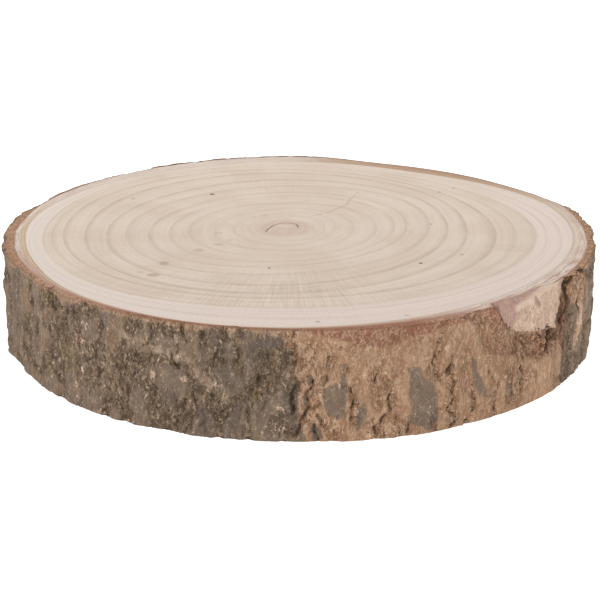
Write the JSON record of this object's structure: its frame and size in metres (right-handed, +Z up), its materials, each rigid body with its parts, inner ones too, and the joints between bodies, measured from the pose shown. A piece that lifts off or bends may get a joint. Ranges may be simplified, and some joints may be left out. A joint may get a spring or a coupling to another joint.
{
  "type": "wood slice",
  "caption": "Round slice sawn across a tree trunk, with flat pale faces above and below and rough bark all round its side, one torn scar at the edge.",
  "frame": {"origin": "centre of the slice's bounding box on its underside, on the surface it rests on", "axes": "+Z up through the slice's thickness, -Y towards the front with the torn scar at front right, +X to the right"},
  "size_m": [0.288, 0.2852, 0.05],
  "materials": {
    "wood": "raw sawn end grain, pale and matt",
    "bark": "rough grey-brown bark, rubbed tan in places"
  },
  "bodies": {
    "root": {"wood_slice": "wood"}
  },
  "joints": []
}
